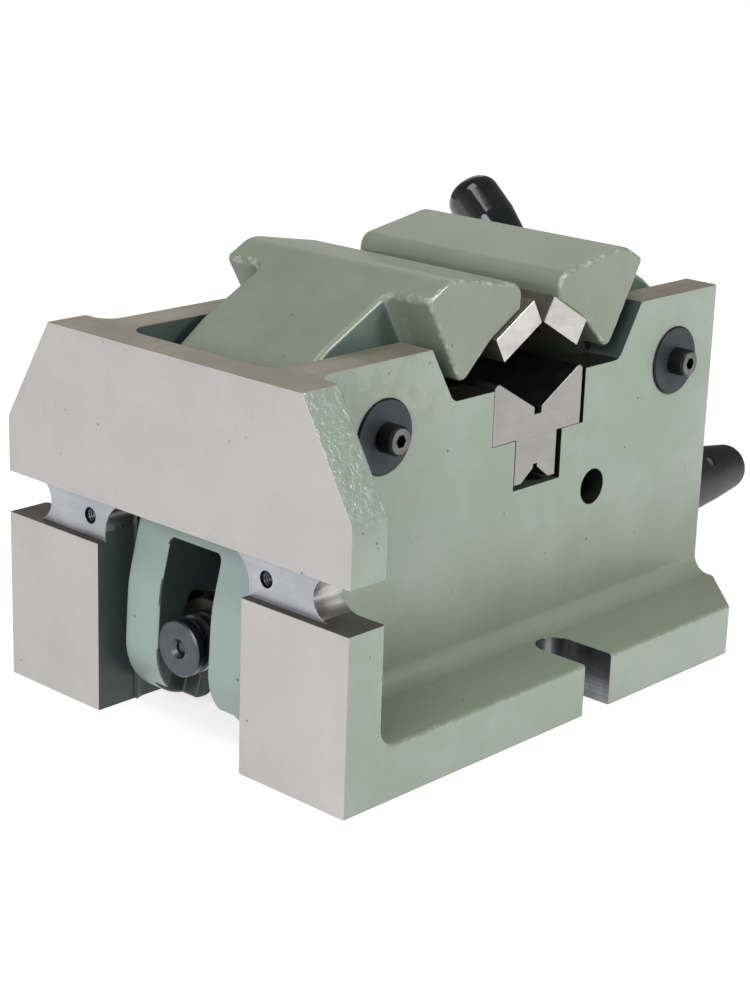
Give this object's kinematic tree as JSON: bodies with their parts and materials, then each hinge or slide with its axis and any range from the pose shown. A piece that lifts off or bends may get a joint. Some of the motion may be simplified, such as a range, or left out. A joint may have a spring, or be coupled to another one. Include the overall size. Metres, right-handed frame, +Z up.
{
  "type": "self-centering vise",
  "caption": "Self-centering vise: rocking jaws press round work into a vee block, closed by a lead screw with a lever handle.",
  "frame": {"origin": "on the base, under the middle of the vee block", "axes": "+X along the lead screw, away from the ground end face; +Y along the jaws; +Z up"},
  "size_m": [0.4, 0.254, 0.1872],
  "materials": {
    "body_paint": "satin sage paint on cast iron, ground bare on top and on the end plate",
    "jaw_paint": "satin olive grey paint",
    "vee_steel": "ground",
    "pad_steel": "ground and hardened",
    "cap_steel": "blackened, satin",
    "screw_steel": "satin",
    "turned_steel": "turned",
    "bronze": "satin bronze",
    "plain_iron": "satin sage paint",
    "black_iron": "black, semi gloss",
    "black_plastic": "gloss"
  },
  "bodies": {
    "body": {"body_casting": "body_paint", "vee_block": "vee_steel", "bearing_cap": "plain_iron", "bearing_screw_near": "screw_steel", "bearing_screw_far": "screw_steel", "left_pivot_pin": "turned_steel", "left_near_washer": "turned_steel", "left_near_cap": "cap_steel", "left_near_cap_screw": "screw_steel", "left_far_washer": "turned_steel", "left_far_cap": "cap_steel", "left_far_cap_screw": "screw_steel", "right_pivot_pin": "turned_steel", "right_near_washer": "turned_steel", "right_near_cap": "cap_steel", "right_near_cap_screw": "screw_steel", "right_far_washer": "turned_steel", "right_far_cap": "cap_steel", "right_far_cap_screw": "screw_steel"},
    "screw": {"lead_screw": "turned_steel", "handle_hub": "black_iron", "hub_pin": "turned_steel", "lever_rod": "turned_steel", "lever_grip": "black_plastic"},
    "left_jaw": {"left_jaw": "jaw_paint", "left_jaw_pad": "pad_steel", "left_jaw_pad_screw_near": "screw_steel", "left_jaw_pad_screw_middle": "screw_steel", "left_jaw_pad_screw_far": "screw_steel", "left_pivot_bush": "bronze"},
    "left_nut": {"left_nut": "bronze"},
    "right_jaw": {"right_jaw": "jaw_paint", "right_jaw_pad": "pad_steel", "right_jaw_pad_screw_near": "screw_steel", "right_jaw_pad_screw_middle": "screw_steel", "right_jaw_pad_screw_far": "screw_steel", "right_pivot_bush": "bronze"},
    "right_nut": {"right_nut": "bronze"}
  },
  "joints": [
    {"name": "screw_turn", "type": "hinge", "parent": "body", "child": "screw", "pos_m": [0, 0, 0.0387], "axis": [1, 0, 0], "range_deg": [0, 2966]},
    {"name": "left_nut_slide", "type": "slide", "parent": "body", "child": "left_nut", "axis": [1, 0, 0], "range_m": [0, 0.0412]},
    {"name": "right_nut_slide", "type": "slide", "parent": "body", "child": "right_nut", "axis": [-1, 0, 0], "range_m": [0, 0.0412]},
    {"name": "left_jaw_swing", "type": "hinge", "parent": "body", "child": "left_jaw", "pos_m": [-0.096, 0, 0.131], "axis": [0, -1, 0], "range_deg": [0, 25]},
    {"name": "right_jaw_swing", "type": "hinge", "parent": "body", "child": "right_jaw", "pos_m": [0.096, 0, 0.131], "axis": [0, 1, 0], "range_deg": [0, 25]}
  ],
  "couplings": [
    {"joint": "left_nut_slide", "follows": "screw_turn", "m_per_rad": 0.00079577},
    {"joint": "right_nut_slide", "follows": "screw_turn", "m_per_rad": 0.00079577},
    {"joint": "left_jaw_swing", "follows": "screw_turn", "ratio": 0.0084277},
    {"joint": "right_jaw_swing", "follows": "screw_turn", "ratio": 0.0084277}
  ]
}
